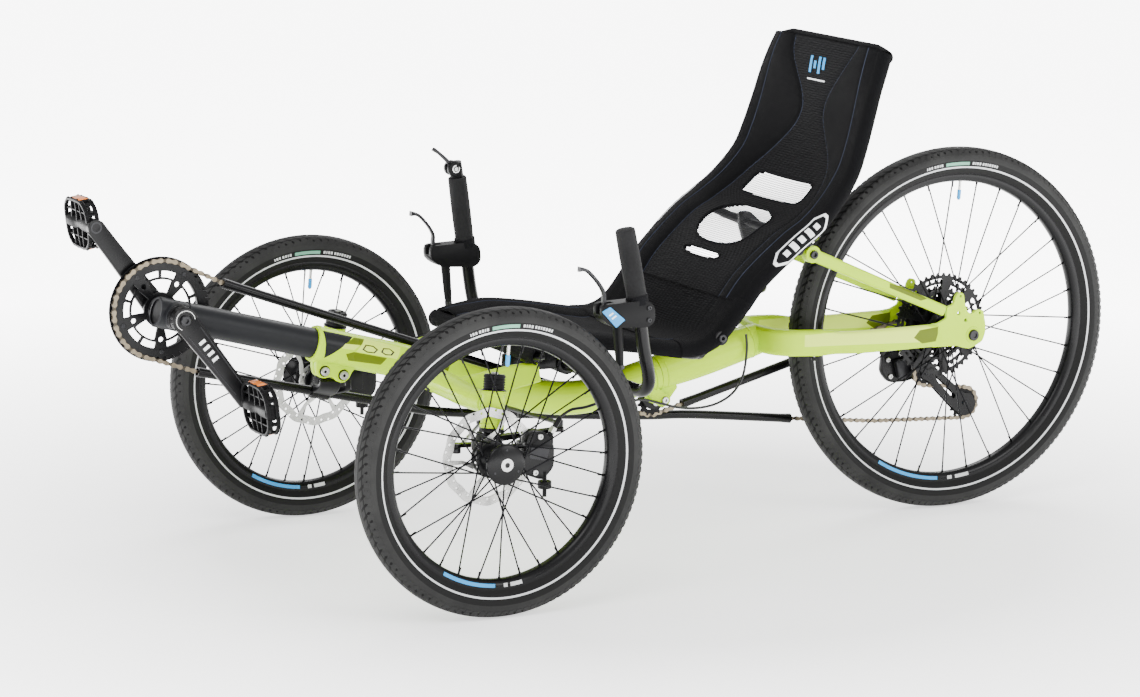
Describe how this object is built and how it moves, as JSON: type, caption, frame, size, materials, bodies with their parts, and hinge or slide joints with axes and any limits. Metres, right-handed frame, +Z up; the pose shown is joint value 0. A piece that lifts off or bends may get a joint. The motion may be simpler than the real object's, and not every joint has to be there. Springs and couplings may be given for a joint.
{
  "type": "folding recumbent tricycle",
  "caption": "Folding recumbent tricycle with two steered front wheels, a driven rear wheel, a telescoping pedal boom and a reclined mesh sling seat.",
  "frame": {"origin": "the ground point under the middle of the bounding box", "axes": "+Z up, front towards -Y, rider's left at +X, rear wheel towards +Y"},
  "size_m": [0.818, 1.9344, 0.862],
  "materials": {
    "frame_paint": "gloss",
    "boom_anodised": "matte",
    "black_metal": "satin",
    "tyre_rubber": "matte",
    "black_plastic": "matte",
    "brushed_steel": "brushed",
    "chain_bronze": "satin",
    "seat_fabric": "woven",
    "grip_foam": "matte"
  },
  "bodies": {
    "frame": {"front_frame": "frame_paint", "clamp_bolts": "brushed_steel", "chain_tube_holder": "black_plastic", "chain_tube_power_front": "black_plastic", "chain_tube_return": "black_plastic", "idler_bracket": "black_metal", "seat_base_frame": "black_metal", "seat_base_cover": "seat_fabric", "shift_cable": "tyre_rubber", "brake_cable_left": "tyre_rubber", "brake_cable_right": "tyre_rubber", "chain": "chain_bronze"},
    "boom": {"boom_tube": "boom_anodised"},
    "cranks": {"crank_arm_left": "black_metal", "crank_arm_right": "black_metal", "chainring": "black_metal"},
    "pedal_l": {"pedal_left": "black_plastic"},
    "pedal_r": {"pedal_right": "black_plastic"},
    "knuckle_l": {"knuckle_left": "black_metal", "caliper_left": "black_metal"},
    "knuckle_r": {"knuckle_right": "black_metal", "caliper_right": "black_metal"},
    "wheel_fl": {"tyre_front_left": "tyre_rubber", "rim_front_left": "black_metal", "hub_front_left": "black_metal", "rotor_front_left": "brushed_steel"},
    "wheel_fr": {"tyre_front_right": "tyre_rubber", "rim_front_right": "black_metal", "hub_front_right": "black_metal", "rotor_front_right": "brushed_steel"},
    "handlebar": {"handlebar_tube": "black_metal", "steering_stem": "black_metal", "grip_left": "grip_foam", "grip_right": "grip_foam", "brake_mount_left": "black_plastic", "brake_mount_right": "black_plastic", "shifter_body": "black_plastic"},
    "lever_l": {"brake_lever_left": "black_metal"},
    "lever_r": {"brake_lever_right": "black_metal"},
    "shift_paddle": {"shifter_lever": "black_metal"},
    "track_rod": {"track_rod": "brushed_steel"},
    "drag_link": {"drag_link": "brushed_steel"},
    "rear": {"rear_frame": "frame_paint", "seat_stay_left": "frame_paint", "seat_stay_right": "frame_paint", "rear_axle": "black_metal", "chain_tube_power_rear": "black_plastic", "derailleur_mount": "black_metal"},
    "wheel_r": {"tyre_rear": "tyre_rubber", "rim_rear": "black_metal", "hub_rear": "black_metal"},
    "cassette": {"cassette": "black_metal"},
    "derailleur": {"derailleur_body": "black_metal"},
    "cage": {"derailleur_cage": "black_metal"},
    "guide_wheel": {"jockey_upper": "black_plastic"},
    "tension_wheel": {"jockey_lower": "black_plastic"},
    "idler": {"idler_wheel": "black_plastic"},
    "seat_back": {"seat_back_frame": "black_metal", "seat_back_cover": "seat_fabric"}
  },
  "joints": [
    {"name": "boom_slide", "type": "slide", "parent": "frame", "child": "boom", "axis": [0, -0.9681, 0.2507], "range_m": [-0.015, 0.06], "deforming": ["chain"]},
    {"name": "crank_spin", "type": "hinge", "parent": "boom", "child": "cranks", "pos_m": [0, -0.8483, 0.44989], "axis": [1, 0, 0], "continuous": true, "deforming": ["chain"]},
    {"name": "pedal_left_spin", "type": "hinge", "parent": "cranks", "child": "pedal_l", "pos_m": [0.12, -0.74718, 0.31324], "axis": [1, 0, 0], "continuous": true},
    {"name": "pedal_right_spin", "type": "hinge", "parent": "cranks", "child": "pedal_r", "pos_m": [-0.12, -0.94942, 0.58655], "axis": [1, 0, 0], "continuous": true},
    {"name": "idler_spin", "type": "hinge", "parent": "frame", "child": "idler", "pos_m": [-0.045, 0.0617, 0.229], "axis": [1, 0, 0], "continuous": true, "deforming": ["chain"]},
    {"name": "handlebar_steer", "type": "hinge", "parent": "frame", "child": "handlebar", "pos_m": [0, -0.2313, 0.3], "axis": [0, 0, 1], "range_deg": [-30, 30], "deforming": ["brake_cable_left", "brake_cable_right"]},
    {"name": "knuckle_left_steer", "type": "hinge", "parent": "frame", "child": "knuckle_l", "pos_m": [0.306, -0.4193, 0.374], "axis": [-0.1211, 0.1124, 0.9863], "range_deg": [-30, 30], "deforming": ["brake_cable_left"]},
    {"name": "knuckle_right_steer", "type": "hinge", "parent": "frame", "child": "knuckle_r", "pos_m": [-0.306, -0.4193, 0.374], "axis": [0.1211, 0.1124, 0.9863], "range_deg": [-30, 30], "deforming": ["brake_cable_right"]},
    {"name": "track_rod_swing", "type": "hinge", "parent": "knuckle_l", "child": "track_rod", "pos_m": [0.3105, -0.3063, 0.28], "axis": [-0.1212, 0.0655, 0.9905], "range_deg": [-31, 31]},
    {"name": "drag_link_swing", "type": "hinge", "parent": "handlebar", "child": "drag_link", "pos_m": [0, -0.2913, 0.229], "axis": [-0.0037, 0.0255, 0.9997], "range_deg": [-31, 31]},
    {"name": "wheel_front_left_spin", "type": "hinge", "parent": "knuckle_l", "child": "wheel_fl", "pos_m": [0.385, -0.4463, 0.25], "axis": [1, 0, 0], "continuous": true},
    {"name": "wheel_front_right_spin", "type": "hinge", "parent": "knuckle_r", "child": "wheel_fr", "pos_m": [-0.385, -0.4463, 0.25], "axis": [1, 0, 0], "continuous": true},
    {"name": "brake_lever_left_pull", "type": "hinge", "parent": "handlebar", "child": "lever_l", "pos_m": [0.3185, -0.2303, 0.472], "axis": [-1, 0, 0], "range_deg": [0, 28], "stiffness_Nm_per_rad": 0.25, "springref_deg": -14.32},
    {"name": "brake_lever_right_pull", "type": "hinge", "parent": "handlebar", "child": "lever_r", "pos_m": [-0.3185, -0.2303, 0.472], "axis": [-1, 0, 0], "range_deg": [0, 28], "stiffness_Nm_per_rad": 0.25, "springref_deg": -14.32},
    {"name": "shift_paddle_push", "type": "hinge", "parent": "handlebar", "child": "shift_paddle", "pos_m": [-0.309, -0.1983, 0.615], "axis": [1, 0, 0], "range_deg": [0, 25], "stiffness_Nm_per_rad": 0.1, "springref_deg": -14.32},
    {"name": "frame_fold", "type": "hinge", "parent": "frame", "child": "rear", "pos_m": [0, 0.0532, 0.2428], "axis": [-1, 0, 0], "range_deg": [0, 140], "deforming": ["chain", "chain_tube_return", "shift_cable"]},
    {"name": "wheel_rear_spin", "type": "hinge", "parent": "rear", "child": "wheel_r", "pos_m": [0, 0.6407, 0.3265], "axis": [1, 0, 0], "continuous": true},
    {"name": "cassette_spin", "type": "hinge", "parent": "rear", "child": "cassette", "pos_m": [-0.045, 0.6407, 0.3265], "axis": [1, 0, 0], "continuous": true, "deforming": ["chain"]},
    {"name": "derailleur_swing", "type": "hinge", "parent": "rear", "child": "derailleur", "pos_m": [-0.0915, 0.6287, 0.283], "axis": [0, -1, 0], "range_deg": [0, 14], "stiffness_Nm_per_rad": 2, "springref_deg": -14.32, "deforming": ["chain"]},
    {"name": "cage_tension", "type": "hinge", "parent": "derailleur", "child": "cage", "pos_m": [-0.0625, 0.6372, 0.2336], "axis": [-1, 0, 0], "range_deg": [0, 40], "stiffness_Nm_per_rad": 0.5, "springref_deg": -22.92, "deforming": ["chain"]},
    {"name": "guide_wheel_spin", "type": "hinge", "parent": "cage", "child": "guide_wheel", "pos_m": [-0.0625, 0.6372, 0.2336], "axis": [1, 0, 0], "continuous": true, "deforming": ["chain"]},
    {"name": "tension_wheel_spin", "type": "hinge", "parent": "cage", "child": "tension_wheel", "pos_m": [-0.0625, 0.7217, 0.1715], "axis": [1, 0, 0], "continuous": true, "deforming": ["chain"]},
    {"name": "seat_back_fold", "type": "hinge", "parent": "frame", "child": "seat_back", "pos_m": [0, 0.0557, 0.383], "axis": [1, 0, 0], "range_deg": [0, 100]}
  ],
  "couplings": [
    {"joint": "knuckle_left_steer", "follows": "handlebar_steer", "ratio": 0.98374},
    {"joint": "knuckle_right_steer", "follows": "handlebar_steer", "ratio": 0.98374},
    {"joint": "track_rod_swing", "follows": "handlebar_steer", "ratio": -1.0011},
    {"joint": "drag_link_swing", "follows": "handlebar_steer", "ratio": -1.0092},
    {"joint": "idler_spin", "follows": "crank_spin", "ratio": -3.1725},
    {"joint": "cassette_spin", "follows": "crank_spin", "ratio": 3.6364},
    {"joint": "guide_wheel_spin", "follows": "crank_spin", "ratio": -3.302},
    {"joint": "tension_wheel_spin", "follows": "crank_spin", "ratio": 2.8386}
  ]
}
